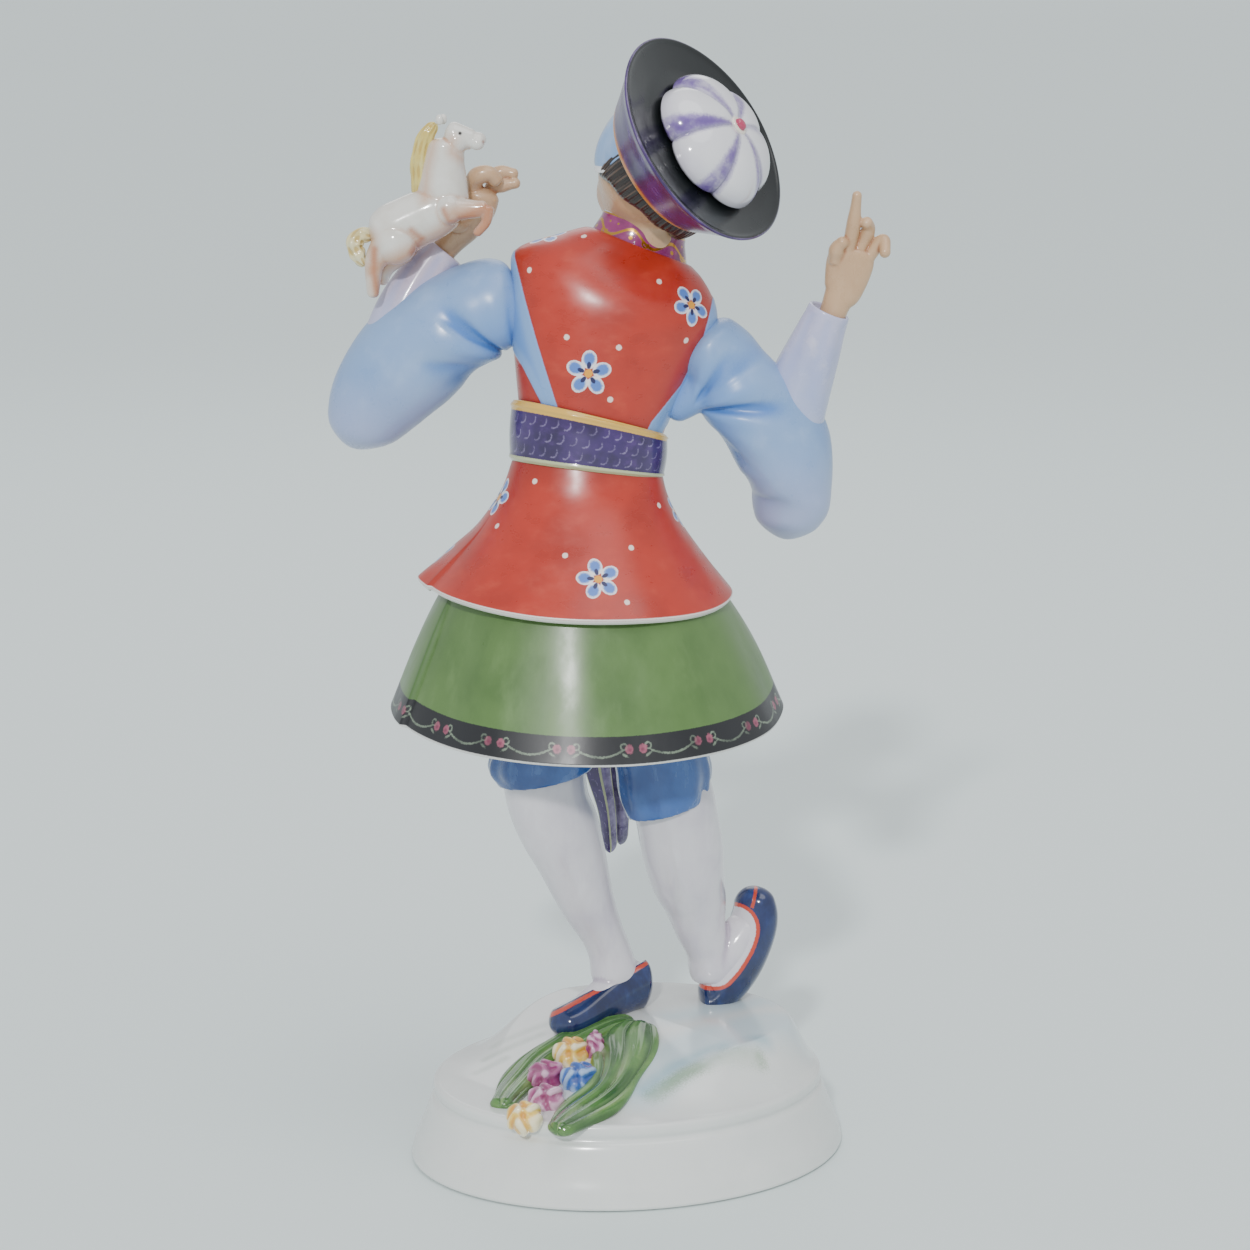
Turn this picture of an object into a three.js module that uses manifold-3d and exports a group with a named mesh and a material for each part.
// Porcelain figurine of a dancer with a toy horse on an oval plinth, seen from its back.
// Millimetres, +Z up. The origin is on the plinth's underside, below the middle of its oval.
// Each piece is a separate casting: neighbours keep a seam of `seam` between them.
import * as THREE from 'three';
import { mergeVertices } from 'three/addons/utils/BufferGeometryUtils.js';
import Module from 'manifold-3d';

const wasm = await Module();
wasm.setup();

// ---- driving dimensions -------------------------------------------------------------------
const plinthLong = 110.6; // oval footprint, long way
const plinthDeep = 92; // oval footprint, short way
const plinthHeight = 20; // floor to the edge of the mound
const plinthWall = 4;
const ledgeHeight = 15.5; // floor to the step round the wall
const ledgeInset = 5.2; // how far the wall leans in below the step
const moundRise = 11; // mound's edge to its flat top
const rampLength = 45; // how far the mound slopes down to the front left
const ventDiameter = 7; // hole in the underside
const ventOffset = 24; // from the middle of the underside
const figureTurn = 20; // degrees that the figure is turned against the plinth's oval
const seam = 0.3; // gap between two castings
const skirtHemHalfWidth = 48.6;
const skirtHemHalfDepth = 42;
const skirtWall = 2.4;
const peplumHemHalfWidth = 38.2;
const peplumHemHalfDepth = 33.2;
const beltThickness = 1.4;
const headRadius = 15.3;
const hatRimRadius = 27;
const hatOpeningRadius = 19;
const hatCover = 10; // how much of the head's radius the hat takes in
const hatLip = 1.4; // width of the gilt edge of the opening
const hatHeight = 12.4;
const crownRadius = 17.6;
const crownHeight = 10.5;
const crownLobes = 6;
const buttonRadius = 2.1;
const blossomRadius = 3.8;
const leafThickness = 1.8;

const standing = plinthHeight + moundRise; // the level that the figure stands on

// ---- solids -------------------------------------------------------------------------------

// A closed geometry as a solid: vertices merged, collapsed triangles dropped, faces outwards.
function solid(geometry) {
  const bare = geometry.clone();
  bare.deleteAttribute('normal');
  bare.deleteAttribute('uv');
  const merged = mergeVertices(bare, 1e-4);
  const place = merged.attributes.position;
  const corners = [];
  let volume = 0;
  const p = new THREE.Vector3();
  const q = new THREE.Vector3();
  const r = new THREE.Vector3();
  for (let i = 0; i < merged.index.count; i += 3) {
    const [a, b, c] = [0, 1, 2].map((k) => merged.index.getX(i + k));
    if (a === b || b === c || c === a) continue;
    corners.push([a, b, c]);
    p.fromBufferAttribute(place, a);
    q.fromBufferAttribute(place, b);
    r.fromBufferAttribute(place, c);
    volume += p.dot(q.cross(r));
  }
  const outward = volume > 0 ? corners : corners.map(([a, b, c]) => [a, c, b]);
  return new wasm.Manifold(new wasm.Mesh({
    numProp: 3,
    vertProperties: Float32Array.from(place.array),
    triVerts: Uint32Array.from(outward.flat()),
  }));
}

// A solid's surface as a three.js geometry.
function surface(body) {
  const mesh = body.getMesh();
  const geometry = new THREE.BufferGeometry();
  geometry.setAttribute('position', new THREE.BufferAttribute(mesh.vertProperties, 3));
  geometry.setIndex(new THREE.BufferAttribute(mesh.triVerts, 1));
  geometry.computeVertexNormals();
  return geometry;
}

function cut(body, ...tools) {
  return tools.reduce((rest, tool) => rest.subtract(tool), body);
}

function join(...bodies) {
  return bodies.reduce((whole, body) => whole.add(body));
}

// The main body of a cut piece, without the slivers that the cut leaves beside it.
function mainBody(body) {
  return body.decompose().reduce((best, one) => (one.volume() > best.volume() ? one : best));
}

// Rings for a loft of `length`: evenly spaced, and closing in over a round end's cap length.
function ringPlaces(length, rings, startCap, endCap) {
  const quarter = [0, 1, 2, 3].map((k) => k * Math.PI / 6);
  const places = [];
  if (startCap > 0) {
    quarter.slice(0, -1).forEach((angle) => {
      places.push({ along: startCap * (1 - Math.cos(angle)), size: Math.sin(angle) });
    });
  }
  for (let i = 0; i <= rings; i++) {
    const along = THREE.MathUtils.lerp(startCap, length - endCap, i / rings);
    places.push({ along, size: 1 });
  }
  if (endCap > 0) {
    quarter.slice(0, -1).reverse().forEach((angle) => {
      places.push({ along: length - endCap * (1 - Math.cos(angle)), size: Math.sin(angle) });
    });
  }
  return places;
}

// A solid through oval stations [x, y, z above the standing level, half-width, half-depth].
// `side` points along the half-width; with `level` the ovals lie flat and two more numbers at
// each station slope them: the rise per mm of x and the rise per mm of y.
function loft(stations, options = {}) {
  const { side = [1, 0, 0], level = false, around = 14, rings = 6 } = options;
  const { startCap = 0, endCap = 0, grow = 0 } = options;
  const route = new THREE.CatmullRomCurve3(
    stations.map(([x, y, z]) => new THREE.Vector3(x, y, z + standing)), false, 'catmullrom');
  const girth = new THREE.CatmullRomCurve3(
    stations.map(([, , , a, b]) => new THREE.Vector3(a, b, 0)), false, 'catmullrom');
  const slope = new THREE.CatmullRomCurve3(
    stations.map(([, , , , , dx = 0, dy = 0]) => new THREE.Vector3(dx, dy, 0)), false, 'catmullrom');
  const spans = stations.slice(1).map((_, i) => {
    const from = route.points[i];
    return from.distanceTo(route.points[i + 1]);
  });
  const length = spans.reduce((sum, span) => sum + span, 0);
  const stationAt = (along) => {
    let left = along;
    for (let i = 0; i < spans.length; i++) {
      if (left <= spans[i] || i === spans.length - 1) return (i + left / spans[i]) / spans.length;
      left -= spans[i];
    }
    return 1;
  };
  const places = ringPlaces(length, rings, startCap, endCap);
  const geometry = new THREE.CylinderGeometry(1, 1, 1, around, places.length - 1);
  const vertices = geometry.attributes.position;
  const reference = new THREE.Vector3(...side);
  const point = new THREE.Vector3();
  for (let i = 0; i < vertices.count; i++) {
    const place = places[Math.round((0.5 - vertices.getY(i)) * (places.length - 1))];
    const t = THREE.MathUtils.clamp(stationAt(place.along), 0, 1);
    const centre = route.getPoint(t);
    const forward = route.getTangent(t);
    const size = girth.getPoint(t);
    const across = vertices.getX(i) * place.size * (size.x + grow);
    const deep = vertices.getZ(i) * place.size * (size.y + grow);
    if (level) {
      const rise = slope.getPoint(t);
      point.set(across, deep, across * rise.x + deep * rise.y).add(centre);
      const climb = Math.sign(route.points.at(-1).z - route.points[0].z);
      point.z += grow * (2 * place.along / length - 1) * climb;
    } else {
      const wide = reference.clone().addScaledVector(forward, -reference.dot(forward)).normalize();
      const thick = new THREE.Vector3().crossVectors(forward, wide);
      point.copy(centre).addScaledVector(wide, across).addScaledVector(thick, deep);
      point.addScaledVector(forward, grow * (2 * place.along / length - 1));
    }
    vertices.setXYZ(i, point.x, point.y, point.z);
  }
  return solid(geometry);
}

// An ellipsoid about [x, y, z above the standing level], turned by an Euler angle in degrees.
function ball(centre, radii, turn = [0, 0, 0], detail = [10, 6]) {
  const geometry = new THREE.SphereGeometry(1, ...detail);
  geometry.rotateX(Math.PI / 2);
  geometry.scale(...radii);
  const [rx, ry, rz] = turn.map(THREE.MathUtils.degToRad);
  geometry.applyMatrix4(new THREE.Matrix4().makeRotationFromEuler(new THREE.Euler(rx, ry, rz)));
  geometry.translate(centre[0], centre[1], centre[2] + standing);
  return solid(geometry);
}

const figurine = new THREE.Group();
figurine.rotation.z = THREE.MathUtils.degToRad(-figureTurn);

function addPiece(name, cutBody, colour, roughness = 0.25) {
  const body = mainBody(cutBody);
  const material = new THREE.MeshStandardMaterial({ color: colour, roughness, metalness: 0 });
  const mesh = new THREE.Mesh(surface(body), material);
  mesh.name = name;
  figurine.add(mesh);
}

// ---- plinth -------------------------------------------------------------------------------

// Height of the mound over its edge at a place on it, 0 at the edge and outside it.
// It is flat under the feet, drops steeply behind and on the right, and ramps down to the
// front left, where the bouquet lies.
function moundHeight(x, y) {
  const turn = THREE.MathUtils.degToRad(figureTurn);
  const reach = plinthLong / 2 - ledgeInset - 0.8;
  const u = x * Math.cos(turn) + y * Math.sin(turn);
  const v = (-x * Math.sin(turn) + y * Math.cos(turn)) * plinthLong / plinthDeep;
  const out = Math.hypot(u, v) / reach;
  const backRight = 0.5 + 0.5 * Math.sin(Math.atan2(y, x) + 0.35);
  const edgeWidth = THREE.MathUtils.lerp(0.36, 0.14, THREE.MathUtils.smoothstep(backRight, 0.25, 0.9));
  const downRamp = -((x - 12) * 0.72 + (y - 14) * 0.69);
  const ramp = 1 - THREE.MathUtils.clamp((downRamp - 8) / rampLength, 0, 1);
  return moundRise * ramp * THREE.MathUtils.smoothstep(1 - out, 0, edgeWidth);
}

function ovalLathe(profile, segments) {
  const points = profile.map(([radius, z]) => new THREE.Vector2(radius, z));
  const geometry = new THREE.LatheGeometry(points, segments);
  geometry.rotateX(Math.PI / 2);
  geometry.scale(1, plinthDeep / plinthLong, 1);
  geometry.rotateZ(THREE.MathUtils.degToRad(figureTurn));
  return geometry;
}

function raiseMound(geometry, drop) {
  const vertices = geometry.attributes.position;
  for (let i = 0; i < vertices.count; i++) {
    if (vertices.getZ(i) < plinthHeight - drop - 1e-3) continue;
    vertices.setZ(i, vertices.getZ(i) + moundHeight(vertices.getX(i), vertices.getY(i)));
  }
  return geometry;
}

function plinthSolid() {
  const foot = plinthLong / 2;
  const edge = foot - ledgeInset;
  const rings = [1, 0.93, 0.84, 0.72, 0.55, 0.3, 0];
  const outside = [[0, 0], [foot - 0.8, 0], [foot, 0.8], [foot - 1.2, 4.5],
  [edge + 1, ledgeHeight - 1.5],
    [edge, ledgeHeight], [edge - 1, ledgeHeight + 0.6], [edge - 0.6, plinthHeight - 0.8],
    ...rings.map((share) => [(edge - 0.8) * share, plinthHeight])];
  const inside = [[0, plinthWall], [foot - plinthWall - 2.5, plinthWall],
    [edge - plinthWall - 0.6, ledgeHeight - 1],
    ...rings.slice(2).map((share) => [(edge - 0.8) * share, plinthHeight - plinthWall])];
  const outer = solid(raiseMound(ovalLathe(outside, 30), 0));
  const hollow = solid(raiseMound(ovalLathe(inside, 16), plinthWall));
  const vent = new THREE.CylinderGeometry(ventDiameter / 2, ventDiameter / 2, plinthWall * 4, 12);
  vent.rotateX(Math.PI / 2);
  vent.translate(0, ventOffset, 0);
  return cut(outer, hollow, solid(vent));
}

// ---- legs and feet ------------------------------------------------------------------------

const footSide = [0.45, -0.89, 0];
const heelSide = [0.8, -0.6, 0];

const legLeft = [[-21.5, 10, 66, 10.6, 10.2], [-20.1, 11, 55.8, 10.3, 10.2],
  [-17.1, 12.5, 47.6, 10.1, 10.2],
  [-14.5, 13.5, 40.5, 9, 9.4], [-10.5, 14.5, 28.6, 7.1, 7.4], [-6.8, 15.3, 20.2, 5.6, 5.9],
  [-4.7, 15.8, 14.6, 5.5, 5.8], [-3.4, 15.6, 9, 6, 6.2], [-2.6, 15.2, 5, 4.6, 5]];
const legRight = [[8.5, 9.5, 64, 10.6, 10.2], [11, 12, 56.8, 10.5, 10.4], [12.4, 14, 50, 10.3, 10.4],
  [13.7, 16, 42.1, 10.4, 10.2], [15, 18, 34.2, 9.6, 9.6], [16.9, 20, 27.3, 8.3, 8.4],
  [18.4, 21, 20, 6.7, 7], [20.6, 22.3, 13.4, 5.8, 6.2], [21.4, 22.3, 8, 5.8, 6],
  [21.8, 22, 4, 4.6, 4.8]];
const footLeft = [[4.4, 17.4, 6.4, 3.4, 4.6], [0.5, 15.5, 7, 4.2, 4.9], [-5.5, 12, 5, 4.3, 4.2],
  [-11, 9, 1.9, 4.6, 3.2], [-14.5, 7.2, 0.2, 3.6, 2.2]];
const footRight = [[20.8, 21.4, 3.6, 3.8, 4.4], [24, 22, 8.6, 4.8, 5], [27.6, 23, 15, 5, 4.6],
  [30.8, 24.6, 21.4, 4.6, 3]];
const shoeLeft = [[6.2, 18.2, 5.2, 4.2, 4.6], [1.5, 16, 5.2, 5, 5.3], [-5, 12.3, 2.6, 5.2, 4.8],
  [-11, 9, 0, 5.6, 4.1], [-16.3, 6.2, -1.6, 5.3, 3.4], [-19.5, 4.4, -2.4, 3.2, 2.6]];
const shoeRight = [[22.4, 22.2, 0.2, 6.2, 5.2], [25.4, 22.9, 5.4, 6.6, 5.9], [30.2, 24.4, 13, 6.8, 5.4],
  [33.5, 25.6, 20.6, 6.5, 4.7], [33.7, 26, 26.7, 5, 3.7]];

function stockingLeft(grow) {
  return join(loft(legLeft, { startCap: 3, endCap: 2, rings: 8, grow }),
    loft(footLeft, { side: footSide, startCap: 3, endCap: 3, rings: 3, around: 10, grow }));
}

function stockingRight(grow) {
  return join(loft(legRight, { startCap: 3, endCap: 2, rings: 8, grow }),
    loft(footRight, { side: heelSide, startCap: 3, endCap: 3, rings: 3, around: 10, grow }));
}

function shoe(stations, side, grow) {
  return loft(stations, { side, startCap: 3.4, endCap: 4, rings: 4, around: 12, grow });
}

// ---- breeches and skirt -------------------------------------------------------------------

const cavityRoof = 106; // top of the hollow inside the skirt
const breechesLeft = [[-11, 9.5, cavityRoof - seam, 10.9, 11], [-12.6, 8.6, 95, 11, 11.6],
  [-15.8, 7.6, 83, 11.8, 12.2, 0.1, 0], [-18.6, 8.4, 74, 12.2, 12.4, 0.16, 0],
  [-20.4, 9.6, 67, 12.4, 12.2, 0.19, 0.02]];
const breechesRight = [[-3, 10.5, cavityRoof - seam, 11, 11], [-1, 12, 94.1, 11.2, 12],
  [4.2, 9.4, 79.7, 11.8, 12.4], [8.5, 10.4, 66.4, 12, 12.4], [10.9, 11.6, 55.4, 12, 12.2, 0.04, 0]];

function breechesSolid() {
  const leg = { level: true, rings: 5 };
  return cut(join(loft(breechesLeft, leg), loft(breechesRight, leg)), stockingLeft(seam), stockingRight(seam));
}

const skirtStations = [[-10.2, 10, 81.8, skirtHemHalfWidth, skirtHemHalfDepth, 0.02, 0.137],
  [-10.5, 10, 95, skirtHemHalfWidth - 6.3, skirtHemHalfDepth - 6, 0.02, 0.1],
  [-11.4, 10, 108, 35.6, 30, 0, 0.05], [-11.8, 10, 118, 29, 24.5], [-11, 10.5, 128, 22, 18],
  [-10.2, 11, 137.4, 15.6, 11.8, 0, -0.1]];
const skirtHollow = [[-10.2, 10, 72, skirtHemHalfWidth + 1.6, skirtHemHalfDepth + 1.6, 0.02, 0.137],
  [-10.2, 10, 81.8, skirtHemHalfWidth - skirtWall, skirtHemHalfDepth - skirtWall, 0.02, 0.137],
  [-10.5, 10, 95, skirtHemHalfWidth - 6.3 - skirtWall, skirtHemHalfDepth - 6 - skirtWall, 0.02, 0.1],
  [-11.4, 10, cavityRoof, 35.6 - skirtWall, 30 - skirtWall]];

function skirtSolid() {
  const outer = loft(skirtStations, { level: true, around: 26, rings: 6 });
  return cut(outer, loft(skirtHollow, { level: true, around: 22, rings: 4 }));
}

const peplumStations = [[-12.5, 10, 111.2, peplumHemHalfWidth, peplumHemHalfDepth, 0, 0.06],
  [-12.4, 10, 118, peplumHemHalfWidth - 6, peplumHemHalfDepth - 5.6, 0, 0.05],
  [-11.6, 10.2, 126, 25.4, 21.6, -0.02, 0], [-10.6, 10.6, 134, 20.6, 16.6, -0.05, -0.06],
  [-10, 11, 140.6, 18.4, 14.2, -0.1, -0.12]];

function peplumSolid() {
  const outer = loft(peplumStations, { level: true, around: 26, rings: 5 });
  return cut(outer, loft(skirtStations, { level: true, around: 26, rings: 6, grow: seam }));
}

// ---- torso, belt and sash -----------------------------------------------------------------

const torsoStations = [[-9.9, 11, 141.6, 17.2, 13.2, -0.12, -0.13],
  [-9.3, 11.4, 150, 17.4, 13.2, -0.18, -0.17],
  [-7.6, 12, 161.8, 20.1, 14.2, -0.2, -0.15], [-5.7, 13, 171.5, 22.8, 15, -0.2, -0.12],
  [-3.2, 14, 180, 24.4, 14.8, -0.21, -0.1], [-0.6, 16, 187, 23.4, 13.4, -0.22, -0.1],
  [1.4, 17.5, 192.8, 16.6, 11, -0.24, -0.1], [3.2, 18.6, 196, 11.4, 9.6, -0.28, -0.1]];
const beltStations = [[-10.2, 11, 140, 17.4 + beltThickness, 13.6 + beltThickness, -0.12, -0.12],
  [-9.8, 11.2, 146, 17.6 + beltThickness, 13.7 + beltThickness, -0.17, -0.16],
  [-9.4, 11.4, 152.6, 17.6 + beltThickness, 13.7 + beltThickness, -0.23, -0.19]];

const neckSide = [1, 0, -0.38];
const neckStations = [[2.4, 18, 190, 7.4, 7.2], [4.4, 18.6, 197, 7, 6.8], [6.6, 18.4, 204, 7, 7]];
const collarStations = [[3, 18.2, 191.6, 12, 10.4, -0.37, -0.1],
  [4, 18.6, 194.8, 10.8, 9.4, -0.37, -0.1],
  [5, 18.8, 198, 9.6, 8.8, -0.36, -0.1]];
const tailLeft = [[-9, 24.4, 146, 3.4, 1.6], [-8.8, 31, 136, 4.2, 1.5], [-8.4, 38.6, 125, 4.6, 1.5],
  [-8.2, 45.6, 113.5, 4.8, 1.5], [-8, 48, 104, 4.9, 1.5], [-8, 51.8, 94, 4.9, 1.5],
  [-7.8, 54.6, 86, 4.8, 1.5],
  [-7, 54.4, 72, 4.4, 1.4], [-5.6, 53.4, 55, 3.6, 1.4], [-4.6, 52.4, 42, 2.9, 1.4],
  [-4.2, 51.8, 31, 2.2, 1.2]];
const tailRight = [[-4, 24.4, 145, 3, 1.5], [-3.2, 31, 135, 3.6, 1.4], [-2.2, 38.6, 124.6, 4, 1.4],
  [-1.6, 45.6, 113.4, 4.2, 1.4], [-1.2, 48, 104, 4.2, 1.4], [-1.2, 51.8, 94, 4.2, 1.4],
  [-1.4, 54.6, 86, 4, 1.4],
  [-1.8, 56.2, 72, 3.4, 1.3], [-2, 56, 55, 3, 1.3], [-2.2, 55.2, 43, 3, 1.3],
  [-2.4, 54.6, 33, 2.2, 1.2]];

function beltCore(grow) {
  return join(loft(torsoStations, { level: true, around: 20, rings: 8, grow }),
    loft(peplumStations, { level: true, around: 26, rings: 5, grow }));
}

function beltSolid(grow = 0) {
  const knot = ball([-6.4, 26, 146], [6 + grow, 3.6 + grow, 5 + grow]);
  return cut(join(loft(beltStations, { level: true, around: 22, rings: 2, grow }), knot), beltCore(seam));
}

// ---- head and hat -------------------------------------------------------------------------

const skull = [7.6, 15.6, 212.4];
const jaw = [3.4, 20.4, 206.6];
const faceTurn = [0, 0, 32]; // the face looks away and a little to the left
const hatAxis = new THREE.Vector3(0.712, -0.5, 0.492).normalize();
const hatOpening = [5.83, 14.45, 212.39].map(
  (place, i) => place + hatAxis.getComponent(i) * (headRadius - hatCover)); // rises with a bigger head

// A lathe body about the hat's axis, its heights measured from the hat's opening.
function onHatAxis(profile, segments, shape = (geometry) => geometry) {
  const geometry = new THREE.LatheGeometry(profile.map(([r, h]) => new THREE.Vector2(r, h)), segments);
  shape(geometry);
  geometry.applyQuaternion(new THREE.Quaternion().setFromUnitVectors(new THREE.Vector3(0, 1, 0), hatAxis));
  geometry.translate(hatOpening[0], hatOpening[1], hatOpening[2] + standing);
  return solid(geometry);
}

function headSolid(grow) {
  const r = headRadius + grow;
  const face = ball(jaw, [r * 0.7, r * 0.72, r * 0.82], faceTurn, [12, 8]);
  const nose = ball([-0.9, 30.2, 209.6], [2 + grow, 2.6 + grow, 2.6 + grow], faceTurn, [8, 5]);
  return join(ball(skull, [r * 0.97, r, r * 0.98], faceTurn, [16, 10]), face, nose,
    loft(neckStations, { side: neckSide, rings: 2, around: 12, grow }));
}

function hairSolid(grow) {
  return ball([8.6, 13.2, 211.4], [headRadius + 0.7 + grow, headRadius + 0.6 + grow, headRadius + grow],
    [0, 18, 20], [16, 10]);
}

function headclothSolid() {
  const wrap = ball([8, 16, 215], [headRadius + 0.8, headRadius + 0.9, headRadius + 0.4],
  [0, 0, 32], [16, 10]);
  const below = new THREE.BoxGeometry(80, 80, 40);
  below.translate(0, 0, -20);
  below.rotateX(THREE.MathUtils.degToRad(4));
  below.rotateY(THREE.MathUtils.degToRad(-14));
  below.translate(0, 16, 214.6 + standing);
  return cut(wrap, solid(below));
}

function hatBrimSolid(grow = 0) {
  const inner = hatOpeningRadius - hatLip;
  const dish = hatHeight - 1.6;
  return onHatAxis([[0, 6.4 - grow], [inner - 0.6 - grow, 5.2 - grow], [inner - grow, 0.4 - grow],
    [hatOpeningRadius - 0.5, -grow], [hatOpeningRadius + grow, 0.4 - grow],
    [hatOpeningRadius + 1.4 + grow, 2.6],
    [hatRimRadius + grow, hatHeight - 0.4], [hatRimRadius - 0.3, hatHeight],
    [hatRimRadius - 1.2, hatHeight],
    [crownRadius + 0.6, dish], [0, dish]], 26);
}

// The crown is a dome of soft lobes that meet in grooves running down from the button.
function crownSolid() {
  const base = hatHeight - 1.6 + seam;
  const arc = [0, 18, 36, 54, 72, 90].map(THREE.MathUtils.degToRad);
  const dome = arc.map((a) => [crownRadius * Math.cos(a), base + 1.4 + crownHeight * Math.sin(a) * 0.87]);
  const profile = [[0, base], [crownRadius * 0.9, base], ...dome];
  profile[profile.length - 1][0] = 0;
  return onHatAxis(profile, crownLobes * 4, (geometry) => {
    const vertices = geometry.attributes.position;
    for (let i = 0; i < vertices.count; i++) {
      const x = vertices.getX(i);
      const z = vertices.getZ(i);
      const groove = Math.pow(1 - Math.abs(Math.sin(Math.atan2(z, x) * crownLobes / 2)), 2);
      const squeeze = 1 - 0.09 * groove;
      vertices.setX(i, x * squeeze);
      vertices.setZ(i, z * squeeze);
    }
  });
}

function buttonSolid() {
  const top = hatHeight - 1.6 + seam + 1.4 + crownHeight * 0.87;
  return onHatAxis([[0, top + seam], [buttonRadius, top + seam], [buttonRadius * 1.1, top + 1],
    [buttonRadius * 0.8, top + 1.8], [0, top + 2.1]], 10);
}

// ---- arms ---------------------------------------------------------------------------------

const sleeveLeftArm = [[-22, 15, 182, 9, 9], [-28, 15.4, 181, 11.3, 9.6],
  [-36.3, 17, 178.4, 12.3, 10.4],
  [-46.2, 18, 173.3, 14.4, 11], [-55, 19, 167, 15.2, 11], [-61.8, 20, 159.4, 13.4, 10.2],
  [-66.4, 20, 152.2, 9.8, 8.4], [-69.3, 20, 146.4, 5, 5.4]];
const sleeveRightArm = [[16, 14.5, 173, 8, 8.6], [22.5, 14.4, 166, 10.4, 9.8],
  [28.2, 15, 158, 11.2, 10.6],
  [34.4, 16, 151, 12.6, 11], [39, 17, 143, 13.2, 10.8], [40.6, 18, 134.4, 12, 10],
  [39.8, 18, 126.6, 9.4, 8.4], [39.2, 18, 121, 5, 5]];
const cuffLeftArm = [[-58.6, 20, 167, 8, 7.4], [-55.4, 21.4, 176.4, 7.6, 7],
  [-51.8, 22.6, 183, 6.9, 6.4],
  [-48.2, 23.4, 188.4, 5.8, 5.4], [-45.2, 23.8, 192, 4.9, 4.6]];
const cuffRightArm = [[40, 16.6, 150, 8, 7.4], [42.3, 16, 160, 7.8, 7.2], [45.1, 15.4, 168, 6.8, 6.4],
  [47.4, 14.6, 174.4, 5.8, 5.4], [49.2, 14, 178.6, 5.2, 4.8]];

function sleeve(stations, grow = 0) {
  return loft(stations, { side: [0, 0.3, 1], startCap: 4, endCap: 5, rings: 6, around: 14, grow });
}

function cuff(stations, grow = 0) {
  return loft(stations, { startCap: 3, rings: 4, around: 12, grow });
}

const palmLeft = [[-47, 23.8, 190.6, 3.2, 2.8], [-43.6, 23.6, 194.4, 3.3, 2.9],
  [-40, 23, 198.6, 4.2, 3.4],
  [-37, 22.4, 203, 4.6, 3.4], [-35.2, 21.6, 208, 4.2, 3]];
const fingersLeft = [
  [[-37.8, 22.4, 206.6, 2.4, 2.4], [-37.2, 20, 210.4, 2.2, 2.2], [-34, 19.4, 211.4, 2.1, 2.1],
  [-31.6, 20.6, 209, 1.9, 1.9]],
  [[-35, 24, 210.6, 1.8, 1.8], [-30.6, 24, 211.4, 1.7, 1.7], [-26.9, 23.4, 210.8, 1.4, 1.4]],
  [[-35, 23.6, 207.4, 1.8, 1.8], [-30.6, 23.4, 208.4, 1.7, 1.7], [-26.4, 22.8, 209, 1.3, 1.3]],
  [[-38.4, 21.4, 200, 2.2, 2.2], [-42, 19.8, 199, 2, 2], [-44.6, 18.2, 199.4, 1.6, 1.6]],
];
const palmRight = [[49.4, 14.2, 176, 3.2, 2.8], [51, 14, 180.6, 3.6, 2.6], [52.5, 14, 183.7, 4.8, 2.6],
  [54, 14, 189.8, 5.8, 2.6], [55, 14, 194.6, 5.2, 2.4]];
const fingersRight = [
  [[50.4, 13.4, 190, 1.9, 1.9], [50.8, 12, 194, 1.8, 1.8], [53, 11, 196.4, 1.5, 1.5]],
  [[53.4, 13.4, 193, 1.9, 1.9], [54.6, 12.4, 199, 1.7, 1.7], [55.5, 11, 208, 1.2, 1.2]],
  [[56, 14, 193, 1.8, 1.8], [58.4, 13.6, 198.4, 1.7, 1.7], [57.4, 10.6, 201, 1.5, 1.5]],
  [[58, 14, 191, 1.8, 1.8], [62, 13.4, 195.8, 1.6, 1.6], [62.4, 10.6, 192, 1.4, 1.4]],
];

function handSolid(palm, fingers, grow = 0) {
  const options = { side: [0, 1, 0], startCap: 1, endCap: 1.3, rings: 2, around: 8, grow };
  const finger = (stations) => loft(stations, options);
  return join(loft(palm, { startCap: 1, endCap: 2.4, rings: 4, around: 10, grow }), ...fingers.map(finger));
}

// ---- toy horse ----------------------------------------------------------------------------

const horseTrunk = [[-61.2, 14.6, 196.2, 4.8, 4.4], [-57.8, 14.8, 196.8, 6.4, 5.4],
  [-52.4, 15, 199.6, 6, 5.4],
  [-47, 15, 202, 6, 5.2], [-43, 15, 204.6, 5.2, 4.6]];
const horseNeck = [[-45.4, 15, 203, 6.4, 4.6], [-45.2, 15, 209, 5.6, 4.2], [-45, 15, 215, 4.3, 3.6],
  [-44.4, 15, 220.8, 3.6, 3.1]];
const horseHead = [[-45, 15, 221.4, 3.4, 2.9], [-41, 15, 220.6, 3.1, 2.6],
  [-35.8, 15, 219.4, 2.3, 2.1]];
const horseLegs = [
  [[-58, 12.6, 195, 4.6, 4.8], [-61.6, 12.6, 190.4, 2.4, 2.6], [-62.3, 13, 181.8, 1.4, 1.4]],
  [[-55.6, 17.4, 194, 4.4, 4.6], [-59.4, 17.8, 188.8, 2.2, 2.4], [-60.6, 18, 184.4, 1.4, 1.4]],
  [[-43, 12.4, 203.6, 3, 3], [-37, 11.4, 203.6, 2, 2.2], [-33.8, 11, 204.2, 1.7, 1.7]],
  [[-33.9, 11, 204.6, 1.7, 1.7], [-34.4, 11, 200.6, 1.3, 1.3], [-37.2, 11, 197.2, 1.1, 1.1]],
];
const horseEars = [[-45.8, 13.7, 225], [-44.6, 16.3, 225]];

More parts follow.
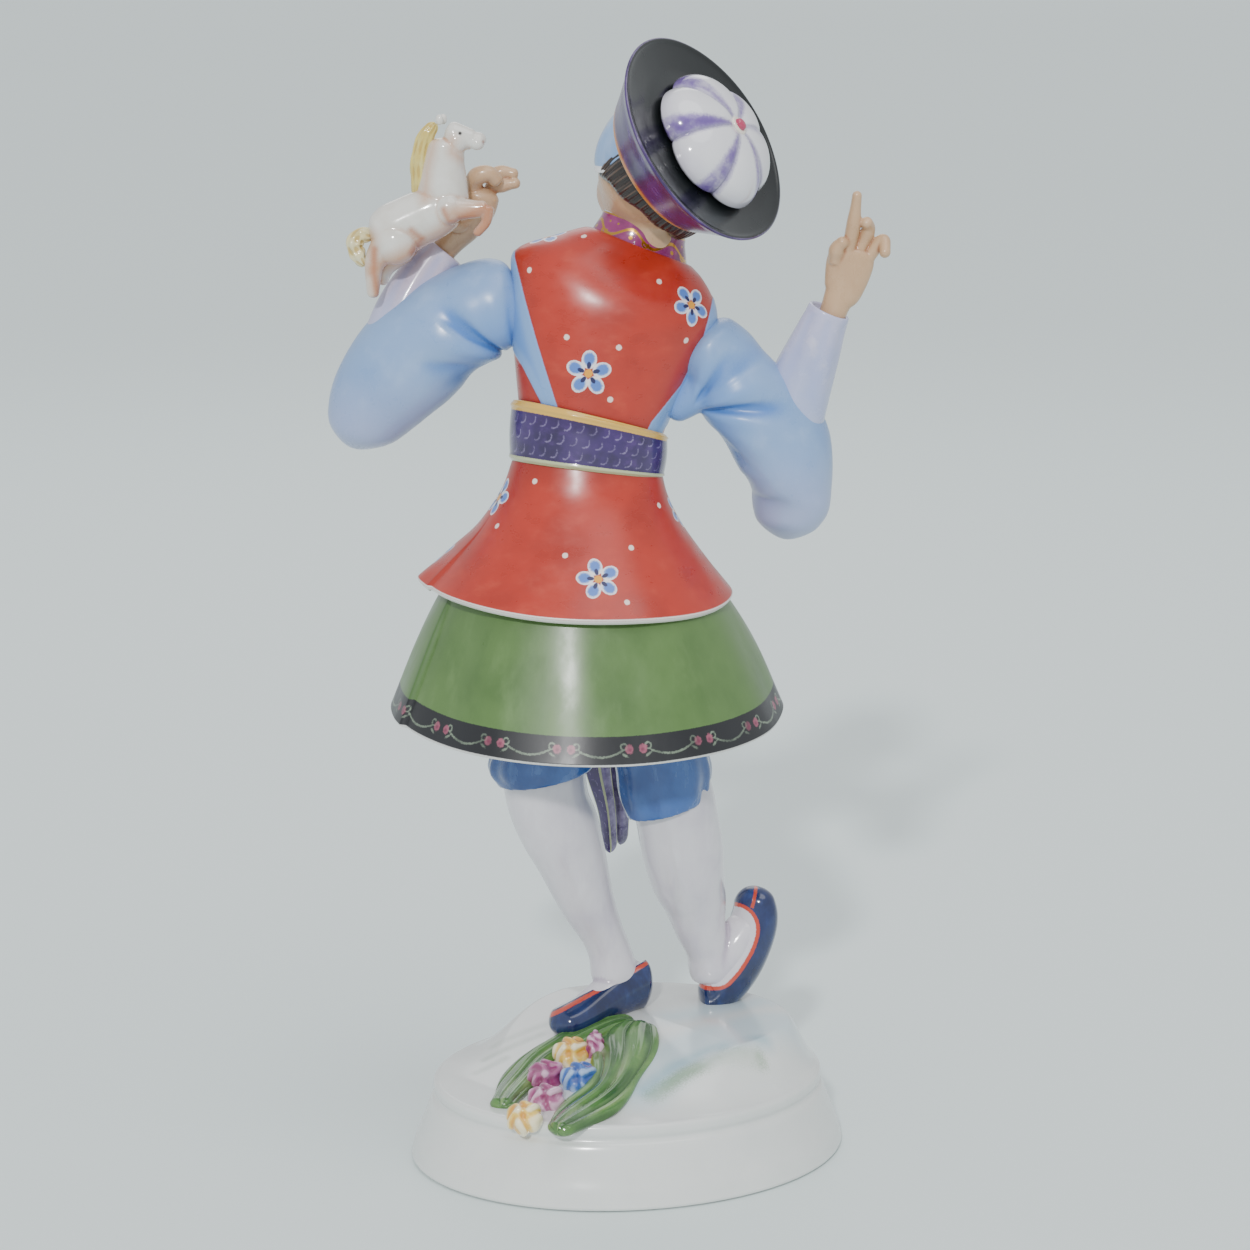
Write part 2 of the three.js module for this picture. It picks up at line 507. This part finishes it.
function horseSolid(grow = 0) {
  const limbOptions = { side: [0, 1, 0], startCap: 1, endCap: 1, rings: 2, around: 8, grow };
  const partOptions = { side: [0, 0, 1], startCap: 2.6, endCap: 2, rings: 4, around: 12, grow };
  const limb = (stations) => loft(stations, limbOptions);
  const part = (stations) => loft(stations, partOptions);
  const neck = loft(horseNeck, { startCap: 2, endCap: 2, rings: 3, around: 10, grow });
  const ear = (place) => ball(place, [1.1 + grow, 0.8 + grow, 1.9 + grow], [0, 10, 0], [6, 4]);
  return join(part(horseTrunk), neck, part(horseHead), ...horseLegs.map(limb), ...horseEars.map(ear));
}

const maneStations = [[-51.4, 15, 206.8, 1.3, 1.4], [-51.2, 15, 212, 1.7, 1.6],
  [-50, 15, 218, 1.7, 1.6],
  [-47.6, 15, 223, 1.4, 1.4]];
const tailStations = [[-61.6, 14.2, 199, 1.5, 1.5], [-65.8, 14, 198.4, 1.9, 1.8],
  [-67.8, 13.8, 195.4, 1.9, 1.8],
  [-66.4, 13.4, 191.8, 1.7, 1.6], [-64.4, 13, 188.8, 1, 1]];

// ---- bouquet ------------------------------------------------------------------------------

// Heights over the mound's own surface, so the bouquet stays on it.
function onMound(x, y, rise) {
  return moundHeight(x, y) - moundRise + rise;
}

function leafSolid(route, grow = 0) {
  const stations = route.map(([x, y, halfWidth]) => [x, y, onMound(x, y, 0.4), halfWidth, leafThickness]);
  return loft(stations, { side: [0.8, -0.6, 0], startCap: 2, endCap: 3, rings: 4, around: 8, grow });
}

const leafRightRoute = [[-20.4, -44.6, 3.4], [-12, -34, 6.8], [-3.4, -22, 8.4], [2.4, -10, 7.2],
  [6.8, 0, 2.4]];
const leafLeftRoute = [[-30.4, -28, 3.4], [-26, -19, 5.6], [-20, -10, 6], [-11, -3, 5.4], [-2, 1, 2.8]];
const blossoms = {
  blossom_yellow_lower: { at: [-25.1, -38], size: 1.03, colour: 0xe9b94a },
  blossom_pink_lower: { at: [-19.8, -29.4], size: 1.05, colour: 0xb2638f },
  blossom_pink_upper: { at: [-20.6, -20.6], size: 1.15, colour: 0xb2638f },
  blossom_blue: { at: [-11.6, -20.4], size: 1.08, colour: 0x3d6cc0 },
  blossom_yellow_upper: { at: [-14, -11.4], size: 1.08, colour: 0xe9b94a },
  bud_pink: { at: [-7.8, -9.6], size: 0.72, colour: 0x9a5484 },
};

function blossomSolid({ at: [x, y], size }, grow = 0) {
  const r = blossomRadius * size + grow;
  return ball([x, y, onMound(x, y, 1.4)], [r, r, r * 0.86], [0, 0, 0], [10, 6]);
}

// ---- assembly -----------------------------------------------------------------------------

function buildBouquet() {
  const cuts = [];
  Object.entries(blossoms).forEach(([name, flower]) => {
    const body = cut(blossomSolid(flower), ...cuts);
    cuts.push(blossomSolid(flower, seam));
    addPiece(name, body, flower.colour, 0.2);
  });
  addPiece('bouquet_leaf_right', cut(leafSolid(leafRightRoute), ...cuts), 0x54803f, 0.22);
  cuts.push(leafSolid(leafRightRoute, seam));
  addPiece('bouquet_leaf_left', cut(leafSolid(leafLeftRoute), ...cuts), 0x54803f, 0.22);
  cuts.push(leafSolid(leafLeftRoute, seam));
  return cuts;
}

function buildGround() {
  const bedded = buildBouquet();
  const shoes = [shoe(shoeLeft, footSide, seam), shoe(shoeRight, heelSide, seam)];
  addPiece('plinth', cut(plinthSolid(), ...bedded, ...shoes), 0xe9e9e6, 0.12);
  const clearOfShoe = cut(shoe(shoeLeft, footSide, 0), ...bedded, stockingLeft(seam));
  addPiece('shoe_left', clearOfShoe, 0x1f2a5c, 0.18);
  addPiece('shoe_right', cut(shoe(shoeRight, heelSide, 0), stockingRight(seam)), 0x1f2a5c, 0.18);
  addPiece('stocking_left', stockingLeft(0), 0xdedbe0, 0.15);
  addPiece('stocking_right', stockingRight(0), 0xdedbe0, 0.15);
}

function buildClothes() {
  addPiece('breeches', breechesSolid(), 0x3f5ea8, 0.3);
  addPiece('skirt', skirtSolid(), 0x5f8049, 0.3);
  addPiece('peplum', peplumSolid(), 0xc4452e, 0.32);
  addPiece('belt', beltSolid(), 0x472a6e, 0.25);
  const cuffsOff = [cuff(cuffLeftArm, seam), cuff(cuffRightArm, seam)];
  addPiece('torso', cut(loft(torsoStations, { level: true, around: 20, rings: 8 }), headSolid(seam)), 0xc4452e, 0.32);
  const torso = loft(torsoStations, { level: true, around: 20, rings: 8, grow: seam });
  addPiece('collar', cut(loft(collarStations, { level: true, around: 18, rings: 2 }), torso, headSolid(seam)), 0x8c2a6b, 0.25);
  const blouse = 0x9fb4da;
  addPiece('sleeve_left', cut(sleeve(sleeveLeftArm), torso, cuffsOff[0]), blouse, 0.3);
  addPiece('sleeve_right', cut(sleeve(sleeveRightArm), torso, cuffsOff[1]), blouse, 0.3);
  const tails = { sash_tail_left: tailLeft, sash_tail_right: tailRight };
  let hung = [beltSolid(seam), torso, loft(peplumStations, { level: true, around: 26, rings: 5, grow: seam }),
    loft(skirtStations, { level: true, around: 26, rings: 6, grow: seam })];
  Object.entries(tails).forEach(([name, route]) => {
    const band = { side: [1, 0, 0], startCap: 0, endCap: 3, rings: 12, around: 8 };
    addPiece(name, cut(loft(route, band), ...hung), 0x472a6e, 0.25);
    hung = [...hung, loft(route, { ...band, grow: seam })];
  });
}

function buildHead() {
  const collar = loft(collarStations, { level: true, around: 18, rings: 2, grow: seam });
  addPiece('head', headSolid(0), 0xc9a27e, 0.35);
  const head = headSolid(seam);
  const hat = hatBrimSolid(seam);
  const torso = loft(torsoStations, { level: true, around: 20, rings: 8, grow: seam });
  addPiece('hair', cut(hairSolid(0), head, collar, torso, hat), 0x2b201c, 0.4);
  addPiece('headcloth', cut(headclothSolid(), head, hairSolid(seam), hat), 0x8fb0d8, 0.3);
  addPiece('hat_brim', cut(hatBrimSolid(), head), 0x2c2438, 0.3);
  addPiece('hat_crown', crownSolid(), 0xe8e8ea, 0.12);
  addPiece('hat_button', buttonSolid(), 0xb0305c, 0.2);
}

function buildArms() {
  const hands = [handSolid(palmLeft, fingersLeft, seam), handSolid(palmRight, fingersRight, seam)];
  addPiece('cuff_left', cut(cuff(cuffLeftArm), hands[0]), 0xc9c4dc, 0.3);
  addPiece('cuff_right', cut(cuff(cuffRightArm), hands[1]), 0xc9c4dc, 0.3);
  addPiece('hand_left', handSolid(palmLeft, fingersLeft), 0xcfa984, 0.35);
  addPiece('hand_right', handSolid(palmRight, fingersRight), 0xcfa984, 0.35);
  const heldClear = [hands[0], cuff(cuffLeftArm, seam)];
  addPiece('horse_body', cut(horseSolid(), ...heldClear), 0xe3dccf, 0.2);
  const horse = horseSolid(seam);
  const strip = { side: [0, 1, 0], startCap: 1.4, endCap: 1.4, rings: 3, around: 8 };
  addPiece('horse_mane', cut(loft(maneStations, strip), horse), 0xd9c46a, 0.25);
  addPiece('horse_tail', cut(loft(tailStations, strip), horse), 0xd9c46a, 0.25);
}

buildGround();
buildClothes();
buildHead();
buildArms();

export default figurine;
